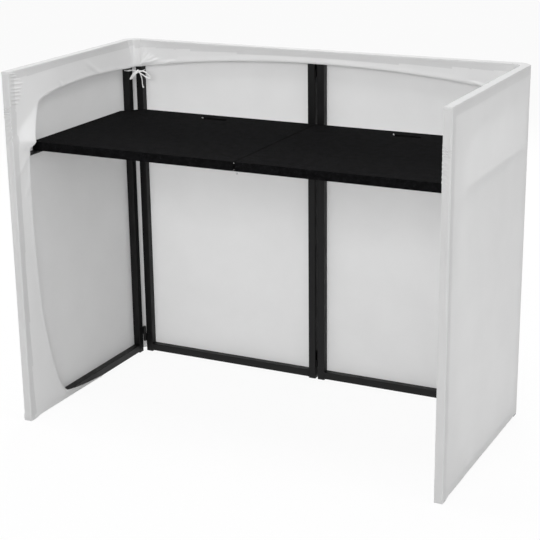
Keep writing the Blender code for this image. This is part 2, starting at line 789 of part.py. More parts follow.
steel = make_material("black_powder_coat", (0.012, 0.012, 0.013), 0.42)
plastic = make_material("black_plastic", (0.015, 0.015, 0.015), 0.6)
cloth = make_material("white_stretch_cloth", (0.82, 0.82, 0.83), 0.9)
carpet = make_material("black_carpet", (0.009, 0.009, 0.010), 1.0)
wood = make_material("plywood", (0.42, 0.29, 0.17), 0.7)
zinc = make_material("zinc_plate", (0.55, 0.56, 0.58), 0.35, 1.0)

middle_axis = add_axis("middle_axis", (0, MIDDLE_AXIS_Y, 0), parts)
left_axis = add_axis("left_wing_axis", (-AXIS_X, AXIS_Y, 0), parts)
right_axis = add_axis("right_wing_axis", (AXIS_X, AXIS_Y, 0), parts, middle_axis)
table_base = add_axis("tabletop_base", (0, 0, TABLE_BOTTOM), parts)
bolt_base = add_axis("table_bolt_base", (0, *bolt_centre()), parts, table_base)

FACADE_PARENTS = {"left": None, "right": middle_axis}
WING_PARENTS = {"left": left_axis, "right": right_axis}

for side_name, side in SIDES.items():
    facade_parent = FACADE_PARENTS[side_name]
    wing_parent = WING_PARENTS[side_name]
    middle_and_corner = (side * MIDDLE_POST_X, side * CORNER_POST_X)
    add_frame(f"facade_{side_name}", "middle", "corner", middle_and_corner, FACADE_Y, facade_parent)
    near_and_rear = (NEAR_POST_Y, REAR_POST_Y)
    add_frame(f"{side_name}_wing", "near", "rear", near_and_rear, side * WING_X, wing_parent, cross_rail=True)
    add_corner_hinges(side_name, facade_parent, wing_parent)
    add_facade_cover(side_name, facade_parent)
    add_wing_cover(side_name, wing_parent)
    add_table_half(side_name, table_base)
    middle_post = bpy.data.objects[f"facade_{side_name}_middle_post"]
    add_middle_bracket(side_name, middle_post, facade_parent)
    add_tie(side_name, facade_parent)

add_middle_hinges(None, middle_axis)
add_table_bolt(table_base, bolt_base)
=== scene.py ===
"""White stretch-cloth DJ stand: fine cloth, carpet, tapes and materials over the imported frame."""

import json
import math

import bmesh
import bpy
import numpy as np
from mathutils import Matrix, Vector


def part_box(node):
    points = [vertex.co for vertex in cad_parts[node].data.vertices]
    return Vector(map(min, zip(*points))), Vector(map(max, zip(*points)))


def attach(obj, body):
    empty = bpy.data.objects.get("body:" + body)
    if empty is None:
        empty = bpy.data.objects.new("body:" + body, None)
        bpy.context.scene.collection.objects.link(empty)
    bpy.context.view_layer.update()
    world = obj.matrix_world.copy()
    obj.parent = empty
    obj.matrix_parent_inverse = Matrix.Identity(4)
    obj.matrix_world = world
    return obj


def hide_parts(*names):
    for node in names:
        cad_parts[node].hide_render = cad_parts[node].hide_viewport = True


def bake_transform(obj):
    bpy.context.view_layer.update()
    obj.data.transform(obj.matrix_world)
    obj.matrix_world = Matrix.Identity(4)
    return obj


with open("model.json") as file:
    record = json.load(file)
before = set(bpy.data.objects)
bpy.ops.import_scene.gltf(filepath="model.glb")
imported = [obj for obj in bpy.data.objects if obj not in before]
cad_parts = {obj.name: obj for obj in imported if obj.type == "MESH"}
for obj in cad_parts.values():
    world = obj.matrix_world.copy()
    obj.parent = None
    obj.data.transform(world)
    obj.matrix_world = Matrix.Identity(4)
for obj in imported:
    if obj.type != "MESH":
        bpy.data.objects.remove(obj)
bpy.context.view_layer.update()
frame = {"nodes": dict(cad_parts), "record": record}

# Camera: place, then azimuth, elevation and roll in degrees, lens and sensor in millimetres
CAMERA_PLACE = (1.920, -3.8876, 1.873)
CAMERA_ANGLES = (26.34, 17.62, -0.72)
CAMERA_LENS = 96.03
CAMERA_SENSOR = 36.0

# Light: place, target, size and watts of each soft box, surroundings and floor
SOFTBOXES = {
    "overhead": ((0.0, -0.2, 2.9), (0, 0.1, 0.6), (1.8, 0.8), 24),
    "right": ((4.4, -0.6, 1.9), (0, 0, 0.9), (2.2, 1.6), 38),
    "left": ((-4.4, -0.2, 1.9), (0, 0, 0.7), (2.2, 1.6), 36),
    "front": ((0.6, -4.9, 2.6), (0, 0.3, 0.6), (3.0, 2.2), 108),
    "back": ((-1.2, 3.6, 2.4), (0, 0.2, 0.6), (2.6, 2.0), 82),
}
WORLD_FILL = 0.42
FLOOR_GREY = 0.93
FLOOR_GLOW = 0.93
FLOOR_SIZE = 30.0

# Cloth: thickness, the tube's width under it, its roundings and the steps of its grids
CLOTH = 0.001
HALF = CLOTH / 2
TUBE = 0.0258
WRAP_RADIUS = 0.0024
WRAP_SEGMENTS = 4
WRAP_ANGLE = 50
FINE_STEP = 0.0052
COARSE_STEP = 0.011
FLAP_ROWS = 18
ACROSS_TUBE = 10
FRONT_THROUGH = 0.18
WING_THROUGH = 0.12

# Hem and its stitches
HEM_DEPTH = 0.009
HEM_RISE = 0.0009
HEM_EDGE_RADIUS = 0.0007
STITCH_INSET = 0.0068
STITCH_LENGTH = 0.0024
STITCH_PITCH = 0.0034
STITCH_RADIUS = 0.00032

# How near to a face's plane a point has to lie to count as part of it
ON_FACE = 0.0035
NEAR_FLAP = 0.004
ZONE_MARGIN = 0.002
EDGE_MARGIN = 0.0012

# Free edge of a wing's inner flap in millimetres: distance from the near end, drop from the cloth's top
WING_HEM_MM = [
    (720, 98), (640, 93), (450, 86), (290, 91), (200, 101.5), (150, 116.5), (136, 133.5), (110, 182),
    (86, 245), (79, 360), (83, 560), (101, 790), (140, 970), (190, 1088), (250, 1117), (430, 1135),
]
WING_HEM = [(along / 1000, drop / 1000) for along, drop in WING_HEM_MM]
HEM_TOP_CORNER = 5
HEM_LOW_CORNER = 13
HEM_STEPS = 12

# Facet of the flap near its top corner, by distance and drop, in metres from here on
TENT_CREASE = [(0.003, 0.205), (0.150, 0.116)]
TENT_RIDGE = [(0.003, 0.212), (0.091, 0.230)]
TENT_HEIGHT = 0.022
TENT_FALL = 0.030
TENT_RUN = 0.09

# Free edge of the front's flap, as a drop that grows towards the corners
FACADE_HEM_MIDDLE = 0.043
FACADE_HEM_GROWTH = 0.052

# Uneven tension: count of waves, their radians per metre, their heights, and where they start from an edge
WAVE_COUNT = 7
WAVE_RANGE = (9.0, 26.0)
WING_WAVES = 0.0012
FACADE_WAVES = 0.0014
FREE_RUN = (0.03, 0.12)

# Places that the cloth hangs on, from the CAD's boxes
wing_low, wing_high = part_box("right_wing_cover")
facade_low, facade_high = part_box("facade_right_cover")
post_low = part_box("right_wing_rear_post")[0]
front_post_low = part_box("facade_right_corner_post")[0]
TOP = wing_high.z - HALF
BOTTOM = wing_low.z
OUTER_X = wing_high.x - HALF
INNER_X = wing_low.x + HALF
NEAR_Y = wing_low.y + HALF
WING_FAR_Y = wing_high.y
WING_FLAP_FAR_Y = WING_FAR_Y - 0.0217
FACADE_OUT_Y = facade_high.y - HALF
FACADE_IN_Y = facade_low.y + HALF
MIDDLE_X = facade_low.x
FACADE_FAR_X = facade_high.x
FACADE_FLAP_FAR_X = FACADE_FAR_X - 0.0217
joints = {joint["name"]: joint for joint in frame["record"]["behaviour"]["joints"]}
CORNER_AXIS = Vector(joints["right_wing_hinge"]["pos_m"])
MIDDLE_AXIS = Vector(joints["middle_fold"]["pos_m"])
SIDES = {"left": -1, "right": 1}

# Lowest and highest place of each middle hinge, over both knuckles and the pin
MIDDLE_SPANS = []
for level in ("low", "high"):
    boxes = [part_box(node) for node in frame["nodes"] if node.startswith(f"middle_{level}_hinge")]
    MIDDLE_SPANS.append((min(low.z for low, _ in boxes), max(high.z for _, high in boxes)))

# Corner cloth: how far it bows outwards, and its turn on the inside, from the hinge's axis
CORNER_BOW = 0.0045
CORNER_STEPS = 18
CORNER_TURN = [
    (0.0011, -0.0232), (-0.0012, -0.0120), (-0.0047, -0.0047), (-0.0120, -0.0012), (-0.0232, 0.0011),
]

# Cloth over the hinges and the near feet
CORNER_LIFT = 0.0023
LIFT_DROPS = (0.004, 0.030)
LIFT_REACH = 0.10
MIDDLE_KNUCKLE_RADIUS = 0.0043
MIDDLE_TENT_WIDTH = 0.0072
MIDDLE_TENT_FALL = 0.020
FOOT_DROP = 0.0042
FOOT_SWELL = 0.0009
FOOT_END_SWELL = 0.0015

# Fine folds at a wing's near end, in drops from the top
GATHER_DROPS = (0.008, 0.016, 0.026, 0.039, 0.053, 0.063, 0.074, 0.087, 0.099)
GATHER_LENGTHS = (0.026, 0.034, 0.048, 0.066, 0.058, 0.050, 0.055, 0.045, 0.036)
END_GATHERS = ((0.104, 0.117), (0.115, 0.125), (0.123, 0.132), (0.133, 0.140))
END_SHORT_GATHERS = ((0.150, 0.158), (0.160, 0.171), (0.172, 0.186), (0.186, 0.206), (0.200, 0.224))

# Fan of folds at the tie, from its middle to these ends: distance from the stand's middle and drop
FAN_MIDDLE = (0.658, 0.086)
FAN_ENDS = ((0.642, 0.022), (0.633, 0.040), (0.620, 0.050), (0.604, 0.053), (0.585, 0.063))

# Single folds: a line of places, a height and a half width. A place ends with its drop from the top. Before
# that: the share across a near end, the distance from the middle, from the hinge's axis or from the near end
END_CREASES = [
    ([(0.20, 0.030), (0.22, 0.180)], 0.0009, 0.0028),
    ([(0.22, 0.160), (0.28, 0.620)], 0.0034, 0.0042),
    ([(-0.1, 0.003), (0.35, 0.009), (0.75, 0.009), (1.1, 0.004)], 0.0020, 0.0036),
]
FLAP_CREASES = [
    ([(0.562, 0.0745), (0.528, 0.0655)], 0.0014, 0.0038),
    ([(0.575, 0.0790), (0.548, 0.0745)], 0.0010, 0.0032),
]
CORNER_ROLLS = [
    ([(0.007, 0.004, 0.088), (0.017, 0.0004, 0.012)], 0.0026, 0.0032),
    ([(0.007, 0.004, 0.088), (0.001, 0.016, 0.020)], 0.0022, 0.0036),
]
LEFT_OUTER_FOLDS = [
    ([(0.705, 1.092), (0.589, 1.097), (0.380, 1.110)], 0.0015, 0.0045),
    ([(0.700, 1.070), (0.560, 1.084), (0.470, 1.092)], 0.0012, 0.0045),
]
LEFT_FLAP_FOLDS = [
    ([(0.262, 0.070), (0.305, 0.112)], 0.0016, 0.007),
    ([(0.410, 0.030), (0.530, 0.100)], 0.0014, 0.008),
    ([(0.085, 0.262), (0.010, 0.335)], 0.0026, 0.010),
    ([(0.080, 0.350), (0.048, 0.400)], 0.0018, 0.010),
]

# Welds and pale threads
WELD_RADIUS = 0.0006
WELD_RIPPLE = 0.18
WELD_STEPS = 12
THREAD_RADIUS = 0.00028
THREAD_BEND = 0.0012
THREAD_REACH = 0.0018
THREAD_SLOT_FROM_REAR = 0.0565
THREAD_SLOT_ENDS = (-0.3915, 0.2965)

# Ties: tape, section, the knot, and runs from the knot in millimetres: inwards, to the user and down
TAPE_WIDTH = 0.0042
TAPE_THICKNESS = 0.0011
TAPE_STEPS = 6
TAPE_SECTION = [
    (-1.0, -0.4), (-0.7, -1.0), (0.7, -1.0), (1.0, -0.4),
    (1.0, 0.4), (0.7, 1.0), (-0.7, 1.0), (-1.0, 0.4),
]
KNOT = (0.6665, 0.3345, 1.0300)
BOW_LOOP = [
    (0, 1, 0), (8, 3, -1), (21, 3, -2), (33, 3, 2), (43, 3, 11),
    (47, 3, 21), (41, 5, 21), (28, 6, 14), (13, 5, 6), (0, 2, 0),
]
LONG_TAIL = [(0, 2, 0), (9, 5, 5), (15, 6, 16), (18, 6, 30), (19, 7, 42), (22, 7, 52)]
SHORT_LOOP = [
    (0, 1, 0), (-7, 8, 3), (-13, 15, 10), (-18, 21, 20), (-19, 23, 24),
    (-15, 22, 23), (-10, 17, 15), (-4, 9, 7), (0, 2, 1),
]


# Materials

def feed(tree, node, inputs):
    """Gives a node its inputs, each a value or a socket to link."""
    for key, value in inputs.items():
        if isinstance(value, bpy.types.NodeSocket):
            tree.links.new(value, node.inputs[key])
        else:
            node.inputs[key].default_value = value


def add_node(tree, kind, inputs=None, **settings):
    node = tree.nodes.new(kind)
    for key, value in settings.items():
        setattr(node, key, value)
    feed(tree, node, inputs or {})
    return node


def rgba(colour):
    """Four values from a grey or from three. A socket stays."""
    if isinstance(colour, bpy.types.NodeSocket):
        return colour
    return (*colour, 1.0) if isinstance(colour, tuple) else (colour, colour, colour, 1.0)


class Nodes:
    """Adds and links shader nodes of one material."""

    def __init__(self, name):
        self.material = bpy.data.materials.new(name)
        self.material.use_nodes = True
        self.tree = self.material.node_tree
        self.shader = self.tree.nodes["Principled BSDF"]
        self.place = self.add("ShaderNodeTexCoord").outputs["Object"]

    def add(self, kind, inputs=None, **settings):
        return add_node(self.tree, kind, inputs, **settings)

    def set(self, **inputs):
        feed(self.tree, self.shader, {key.replace("_", " "): value for key, value in inputs.items()})

    def scaled(self, scale):
        return self.add("ShaderNodeMapping", {"Vector": self.place, "Scale": scale}).outputs["Vector"]

    def noise(self, scale, detail=3.0, roughness=0.5, vector=None):
        values = {"Vector": vector or self.place, "Scale": scale, "Detail": detail, "Roughness": roughness}
        return self.add("ShaderNodeTexNoise", values).outputs["Fac"]

    def wave(self, scale, distortion, direction="X", vector=None):
        values = {"Vector": vector or self.place, "Scale": scale, "Distortion": distortion}
        return self.add("ShaderNodeTexWave", values, bands_direction=direction).outputs["Fac"]

    def remap(self, value, low, high, to_low=0.0, to_high=1.0):
        values = {"Value": value, "From Min": low, "From Max": high, "To Min": to_low, "To Max": to_high}
        return self.add("ShaderNodeMapRange", values).outputs["Result"]

    def mix(self, factor, first, second):
        values = {"Factor": factor, 6: rgba(first), 7: rgba(second)}
        return self.add("ShaderNodeMix", values, data_type="RGBA").outputs[2]

    def math(self, operation, first, second):
        return self.add("ShaderNodeMath", {0: first, 1: second}, operation=operation).outputs[0]

    def bump(self, height, strength, distance):
        values = {"Height": height, "Strength": strength, "Distance": distance}
        normal = self.add("ShaderNodeBump", values).outputs["Normal"]
        self.tree.links.new(normal, self.shader.inputs["Normal"])
        return normal

    def blend_shader(self, share, other):
        """Gives the surface a share of another shader."""
        both = self.add("ShaderNodeMixShader", {0: share, 1: self.shader.outputs[0], 2: other.outputs[0]})
        self.tree.links.new(both.outputs[0], self.tree.nodes["Material Output"].inputs["Surface"])


def cloth_material(name, through_share, tint):
    """White warp-knit stretch cloth: fine ribs, faint unevenness, some light through it. tint is its
    whiteness, raised or lowered in some copies as painted light and shade.
    """
    n = Nodes(f"white_stretch_knit_{name}")
    knit = n.math("ADD", n.wave(420.0, 0.6, "X", n.scaled((1, 1, 0.02))), n.wave(310.0, 0.8, "Z"))
    height = n.math("ADD", knit, n.noise(900.0, 2.0))
    colour = n.mix(n.remap(n.noise(7.0, 4.0), 0.35, 0.65), 0.975 * tint, tint)
    n.set(Base_Color=colour, Roughness=0.88, Specular_IOR_Level=0.25, Sheen_Weight=0.12, Sheen_Roughness=0.5)
    normal = n.bump(height, 0.22, 0.00025)
    n.blend_shader(through_share, n.add("ShaderNodeBsdfTranslucent", {"Color": colour, "Normal": normal}))
    return n.material


def tape_material():
    """Herringbone cotton tape of the ties."""
    n = Nodes("white_cotton_tape")
    colour = n.mix(n.noise(200.0), 0.76, (0.84, 0.84, 0.83))
    n.set(Base_Color=colour, Roughness=0.85, Specular_IOR_Level=0.2)
    n.bump(n.wave(700.0, 3.0, "DIAGONAL"), 0.35, 0.0003)
    return n.material


def thread_material():
    """Polyester thread."""
    n = Nodes("white_thread")
    n.set(Base_Color=n.mix(n.noise(400.0), (0.70, 0.70, 0.71), 0.80), Roughness=0.6)
    return n.material


def powder_coat_material():
    """Satin black powder coat with fine orange peel, smoother in patches."""
    n = Nodes("black_powder_coat_fine")
    patches = n.remap(n.noise(14.0, 5.0), 0.4, 0.7)
    n.set(
        Base_Color=n.mix(patches, (0.0030, 0.0030, 0.0032), (0.0056, 0.0056, 0.0058)),
        Roughness=n.remap(patches, 0.0, 1.0, 0.42, 0.56),
        Specular_IOR_Level=0.24,
    )
    n.bump(n.noise(900.0, 2.0, 0.6), 0.25, 0.0003)
    return n.material


def carpet_material():
    """Charcoal needle-punch carpet: matted fibres, a few pale ones, and painted shade along the seam."""
    n = Nodes("charcoal_needle_punch_carpet")
    strands = n.noise(90.0, 6.0, 0.75, n.scaled((1.0, 2.4, 1.0)))
    clumps = n.remap(n.noise(38.0, 4.0, 0.6), 0.35, 0.65)
    matted = n.mix(clumps, (0.0018, 0.0018, 0.0020), (0.0050, 0.0050, 0.0055))
    flecks_and_seam_shade = n.mix(n.remap(strands, 0.52, 0.72), matted, (0.0110, 0.0110, 0.0118))
    across = n.add("ShaderNodeSeparateXYZ", {"Vector": n.place}).outputs["X"]
    # Painted shade along the seam between the two carpets.
    seam_shade = n.remap(n.math("ABSOLUTE", across, 0.0), 0.0022, 0.0042, 1.0, 0.0)
    flecks_and_seam_shade = n.mix(seam_shade, flecks_and_seam_shade, 0.0008)
    pale = n.remap(n.noise(520.0, 1.0), 0.66, 0.76, 0.0, 0.6)
    n.set(Base_Color=n.mix(pale, flecks_and_seam_shade, (0.050, 0.050, 0.052)), Roughness=1.0, Specular_IOR_Level=0.04)
    n.bump(n.math("ADD", n.noise(620.0, 4.0, 0.7), strands), 0.7, 0.0012)
    return n.material


def plywood_material():
    """Black-stained plywood, long grain along X, with thin ply lines."""
    n = Nodes("black_stained_plywood")
    grain = n.noise(9.0, 6.0, 0.62, n.scaled((0.6, 9.0, 9.0)))
    pores = n.noise(160.0, 3.0, 0.6, n.scaled((0.12, 3.0, 3.0)))
    wood = n.mix(n.remap(grain, 0.35, 0.65), 0.004, (0.009, 0.008, 0.007))
    wood = n.mix(n.remap(pores, 0.60, 0.74, 0.0, 0.5), wood, 0.002)
    wood = n.mix(n.remap(n.wave(130.0, 0.3, "Z"), 0.7, 1.0, 0.0, 0.25), wood, (0.012, 0.010, 0.008))
    n.set(Base_Color=wood, Roughness=n.remap(grain, 0.3, 0.7, 0.65, 0.85), Specular_IOR_Level=0.12)
    n.bump(n.math("ADD", grain, pores), 0.3, 0.0005)
    return n.material


def zinc_material():
    """Zinc-plated steel, brushed along X."""
    n = Nodes("zinc_plated_steel_fine")
    brushed = n.noise(60.0, 5.0, 0.7, n.scaled((1.0, 14.0, 14.0)))
    colour = n.mix(n.remap(n.noise(45.0, 3.0), 0.35, 0.65), (0.50, 0.51, 0.53), 0.66)
    n.set(Base_Color=colour, Metallic=1.0, Roughness=n.remap(brushed, 0.3, 0.7, 0.28, 0.48))
    n.bump(brushed, 0.12, 0.0002)
    return n.material


def cap_material():
    """Moulded black polyethylene, matt with a fine grain."""
    n = Nodes("black_moulded_plastic")
    scuffs = n.remap(n.noise(60.0, 6.0, 0.7), 0.58, 0.75)
    n.set(Base_Color=n.mix(scuffs, 0.014, 0.045), Roughness=n.remap(scuffs, 0.0, 1.0, 0.55, 0.75))
    n.bump(n.noise(1400.0, 2.0), 0.4, 0.0002)
    return n.material


# Meshes and lines

def add_object(name, data):
    made = bpy.data.objects.new(name, data)
    bpy.context.scene.collection.objects.link(made)
    return made


def mesh_from(shape, name, *materials):
    """Mesh made of a bmesh, which is used up."""
    mesh = bpy.data.meshes.new(name)
    shape.to_mesh(mesh)
    shape.free()
    for one in materials:
        mesh.materials.append(one)
    return mesh


def solid_piece(name, shape, material, body=None, rounded=True):
    """Piece made of closed bmesh parts. rounded shades it smooth."""
    bmesh.ops.recalc_face_normals(shape, faces=shape.faces)
    mesh = mesh_from(shape, name, material)
    if rounded:
        mesh.shade_smooth()
    piece = add_object(name, mesh)
    if body:
        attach(piece, body)
    return piece


def skin(shape, rings, closed=False):
    """Faces from ring to ring. An open run gets end caps, a closed one joins its ends."""
    rings = [[shape.verts.new(point) for point in ring] for ring in rings]
    following = rings[1:] + rings[:1] if closed else rings[1:]
    for ring, after in zip(rings, following):
        for j in range(len(ring)):
            k = (j + 1) % len(ring)
            shape.faces.new((ring[j], ring[k], after[k], after[j]))
    if not closed:
        shape.faces.new(rings[0][::-1])
        shape.faces.new(rings[-1])


def round_edges(piece, width, segments=2):
    """Rounds a piece's edges with a modifier."""
    rounding = piece.modifiers.new("rounded_edges", "BEVEL")
    rounding.width = width
    rounding.segments = segments
    rounding.limit_method = "ANGLE"
    rounding.angle_limit = math.radians(40)
    rounding.harden_normals = True


def smooth(value, low, high):
    """0 below low, 1 above high, smooth between."""
    s = np.clip((value - low) / (high - low), 0.0, 1.0)
    return s * s * (3 - 2 * s)


def catmull(points, steps):
    """Smooth curve through the points."""
    points = [Vector(point) for point in points]
    ends = [2 * points[0] - points[1], *points, 2 * points[-1] - points[-2]]
    curve = []
    for before, start, end, after in zip(ends, ends[1:], ends[2:], ends[3:]):
        for step in range(steps):
            s = step / steps
            place = 2 * start + (end - before) * s
            place += (2 * before - 5 * start + 4 * end - after) * s * s
            place += (3 * start - before - 3 * end + after) * s**3
            curve.append(0.5 * place)
    curve.append(points[-1])
    return curve


def running_length(points):
    """Distance along a line, at each of its points."""
    return np.concatenate([[0.0], np.cumsum(np.linalg.norm(np.diff(points, axis=0), axis=1))])


def places_on(points, lengths, at):
    """Places on a line at some distances along it."""
    return np.stack([np.interp(at, lengths, column) for column in points.T], axis=1)


def spaced(curve, count):
    """count + 1 points at even distances along a curve."""
    points = np.array([list(point) for point in curve])
    lengths = running_length(points)
    return places_on(points, lengths, np.linspace(0.0, lengths[-1], count + 1))


def steps_for(length, step):
    return max(2, round(length / step))


def between(first, second, count):
    """Rows of points from one edge to another with as many points."""
    return np.stack([first + (second - first) * s for s in np.linspace(0.0, 1.0, count + 1)])


def at_height(line, height):
    """The same line at another height."""
    line = np.array(line)
    line[:, 2] = height
    return line


def unit_rows(ways):
    """Each way at length 1. One that has no length takes its neighbour's."""
    lengths = np.linalg.norm(ways, axis=1)
    ways = ways / np.maximum(lengths, 1e-9)[:, None]
    for i in np.nonzero(lengths < 1e-6)[0]:
        ways[i] = ways[i - 1] if i else ways[i + 1]
    return ways


# Cloth

def hem_rows(edge, inwards, hidden):
    """Turned-under hem: rows round the free edge and back up. inwards and hidden are ways from the edge."""
    rows = []
    for angle in (45, 90, 135, 180):
        turn = math.radians(angle)
        off = hidden * HEM_EDGE_RADIUS * (1 - math.cos(turn))
        rows.append(edge - inwards * HEM_EDGE_RADIUS * math.sin(turn) + off)
    back = edge + hidden * 2 * HEM_EDGE_RADIUS
    return np.stack([*rows, back + inwards * HEM_DEPTH * 0.5, back + inwards * HEM_DEPTH])


def hem_raise(from_edge, inner):
    """Height of the doubled cloth at a flap's free edge."""
    raised = HEM_RISE * (1 - smooth(np.abs(from_edge), HEM_DEPTH * 0.8, HEM_DEPTH * 1.5))
    return np.where(inner, raised, 0.0)


def facade_hem(x):
    """Drop of the inner flap's free edge on the front, from the top of the cloth."""
    return FACADE_HEM_MIDDLE + FACADE_HEM_GROWTH * (x / CORNER_AXIS.x) ** 2


class Cloth:
    """A sheet of cloth, welded from grids of points, rounded at its edges, then wrinkled."""

    def __init__(self, name):
        self.name = name
        self.shape = bmesh.new()

    def patch(self, points):
        """Adds a grid of points, rows by columns."""
        made = [[self.shape.verts.new(point) for point in row] for row in points]
        for row, below in zip(made, made[1:]):
            for j in range(len(row) - 1):
                corners = (row[j], row[j + 1], below[j + 1], below[j])
                distinct = {tuple(round(c, 7) for c in corner.co) for corner in corners}
                if len(distinct) > 2:
                    self.shape.faces.new(corners)

    def flap(self, top, free, inwards, hidden, rows):
        """Adds a flap from its upper edge to its free edge, with the hem turned under."""
        under = hem_rows(free, inwards, np.array(hidden, float))
        self.patch(np.concatenate([between(top, free, rows), under]))

    def wrap(self, place, way):
        """Welds the grids, rounds the sharp edges and lets the faces look the known way at a place."""
        shape = self.shape
        bmesh.ops.remove_doubles(shape, verts=shape.verts, dist=2e-5)
        bmesh.ops.dissolve_degenerate(shape, edges=shape.edges, dist=1e-6)
        bmesh.ops.recalc_face_normals(shape, faces=shape.faces)
        shared = [edge for edge in shape.edges if len(edge.link_faces) == 2]
        turning = [edge for edge in shared if edge.calc_face_angle(0.0) > math.radians(WRAP_ANGLE)]
        rounding = {"offset": WRAP_RADIUS, "offset_type": "OFFSET", "segments": WRAP_SEGMENTS, "profile": 0.5}
        bmesh.ops.bevel(shape, geom=turning, affect="EDGES", clamp_overlap=False, **rounding)
        place = Vector(place)
        nearest = min(shape.faces, key=lambda face: (face.calc_center_median() - place).length)
        if nearest.normal.dot(Vector(way)) < 0:
            bmesh.ops.reverse_faces(shape, faces=shape.faces)

    def outer_sheet(self, outer_top, inner_top):
        """Adds the strip over a top rail and the outer sheet below it."""
        self.patch(between(outer_top, inner_top, ACROSS_TUBE))
        self.patch(between(outer_top, at_height(outer_top, BOTTOM), steps_for(TOP - BOTTOM, COARSE_STEP)))

    def refine(self, where, cuts):
        """Divides the faces whose middles lie in a zone."""
        faces = list(self.shape.faces)
        middles = np.array([face.calc_center_median() for face in faces])
        edges = {edge for face, chosen in zip(faces, where(middles)) if chosen for edge in face.edges}
        if edges:
            bmesh.ops.subdivide_edges(self.shape, edges=list(edges), cuts=cuts, use_grid_fill=True)

    def wrinkle(self, heights, shift=None):
        """Moves each point along its normal by heights(points), and then by shift(points)."""
        self.shape.normal_update()
        points = np.array([vert.co for vert in self.shape.verts])
        normals = np.array([vert.normal for vert in self.shape.verts])
        moved = points + normals * heights(points)[:, None]
        if shift:
            moved += shift(points)
        for vert, place in zip(self.shape.verts, moved):
            vert.co = place

    def finish(self, material):
        # The flap, over-tube and beside-tube copies carry painted light and shade.
        mesh = mesh_from(self.shape, self.name, material, flap_cloth_painted_light, edge_cloth_painted_shade, beside_cloth_painted_shade)
        mesh.shade_smooth()
        middles = np.array([face.center for face in mesh.polygons])
        mesh.polygons.foreach_set("material_index", painted_light_zone(middles))
        piece = add_object(self.name, mesh)
        return piece


def painted_light_zone(points):
    """Zones for the cloth's copies with painted light and shade: 0 for a single layer of cloth, 1 on the
    inner flaps, painted lighter, 2 over the narrow side of a tube, painted darker, 3 beside it, painted a
    little darker.
    """
    x, y, z = points.T
    flap = (np.abs(x) < INNER_X + ZONE_MARGIN) & (y < FACADE_IN_Y + ZONE_MARGIN)
    edge = (z > TOP - EDGE_MARGIN) | (y < NEAR_Y + EDGE_MARGIN)
    beside = (z > TOP - TUBE) | (y < NEAR_Y + TUBE)
    return np.where(edge, 2, np.where(beside, 3, flap)).astype(np.int32)


def ridges(points, folds):
    """Height of a set of folds, each a line of places, a height and a half width."""
    total = np.zeros(len(points))
    for line, height, width in folds:
        nearest = np.full(len(points), 1e9)
        along = np.zeros(len(points))
        line = np.array(line, float)
        done = running_length(line)
        for a, b, start, end in zip(line, line[1:], done, done[1:]):
            share = np.clip(((points - a) @ (b - a)) / (end - start) ** 2, 0.0, 1.0)
            distance = np.linalg.norm(points - (a + share[:, None] * (b - a)), axis=1)
            closer = distance < nearest
            nearest = np.where(closer, distance, nearest)
            along = np.where(closer, (start + share * (end - start)) / done[-1], along)
        taper = np.sin(np.pi * np.clip(along, 0.02, 0.98)) ** 0.7
        total += height * taper * np.exp(-((nearest / width) ** 2))
    return total


def slow_waves(points, size, seed):
    """Uneven tension of a stretched sheet: a few long waves."""
    spread = np.random.default_rng(seed)
    total = np.zeros(len(points))
    for _ in range(WAVE_COUNT):
        way = spread.normal(size=3)
        way *= spread.uniform(*WAVE_RANGE) / np.linalg.norm(way)
        total += np.sin(points @ way + spread.uniform(0, 6.28))
    return total * size / WAVE_COUNT


def corner_lift(points, sign, wing):
    """The flaps stand off a little near a corner, over the leaves of its high hinge."""
    x, y, z = points.T
    if wing:
        place, far, inner, way = y, WING_FLAP_FAR_Y, np.abs(x) < INNER_X + NEAR_FLAP, (-sign, 0.0, 0.0)
    else:
        place, far, inner, way = np.abs(x), FACADE_FLAP_FAR_X, y < FACADE_IN_Y + NEAR_FLAP, (0.0, -1.0, 0.0)
    amount = smooth(TOP - z, *LIFT_DROPS) * smooth(place, far - LIFT_REACH, far) * inner
    return np.outer(amount * CORNER_LIFT, way)


def hinge_tent(points):
    """The cloth stands over the middle hinges, whose knuckles reach past the frame."""
    x, y, z = points.T
    outside = y > (FACADE_OUT_Y + FACADE_IN_Y) / 2
    reach = MIDDLE_AXIS.y + MIDDLE_KNUCKLE_RADIUS + CLOTH - FACADE_OUT_Y
    total = np.zeros(len(points))
    for low_z, high_z in MIDDLE_SPANS:
        away = np.maximum(0.0, np.abs(z - (low_z + high_z) / 2) - (high_z - low_z) / 2 - NEAR_FLAP)
        total += outside * reach * np.exp(-((x / MIDDLE_TENT_WIDTH) ** 2) - (away / MIDDLE_TENT_FALL) ** 2)
    return total


def middle_hinge_zone(points):
    """Faces of the front's outer sheet that stand over the middle hinges."""
    x, y, z = points.T
    low, high = [(z > low - 0.04) & (z < high + 0.04) for low, high in MIDDLE_SPANS]
    return (y > FACADE_OUT_Y - ZONE_MARGIN) & (np.abs(x) < 0.026) & (low | high)


def near_gather_zone(points):
    """Faces at a wing's near end, below the top corner, that get fine folds."""
    x, y, z = points.T
    drop, along = TOP - z, y - NEAR_Y
    flap = (along < 0.085) & (drop < 0.115) & (np.abs(x) < INNER_X + ZONE_MARGIN)
    return flap | ((along < 0.006) & (drop < 0.26))


def corner_gather_zone(points):
    """Faces of the front's flap, near the corner, that get the folds of the tie."""
    return (points[:, 1] < FACADE_IN_Y + ZONE_MARGIN) & (np.abs(points[:, 0]) > 0.52)


def wing_in(sign, along, drop):
    """Place on the wing's inner flap, by the distance from its near end and the drop."""
    return (sign * INNER_X, NEAR_Y - HALF + along, TOP + HALF - drop)


def wing_out(sign, along, drop):
    return (sign * OUTER_X, NEAR_Y - HALF + along, TOP + HALF - drop)


def facade_in(x, drop):
    return (x, FACADE_IN_Y, TOP + HALF - drop)


def near_end(sign, share, drop):
    """Place on the strip over the near post, from the outer face at 0 to the inner one at 1."""
    return (sign * (OUTER_X + (INNER_X - OUTER_X) * share), NEAR_Y, TOP + HALF - drop)


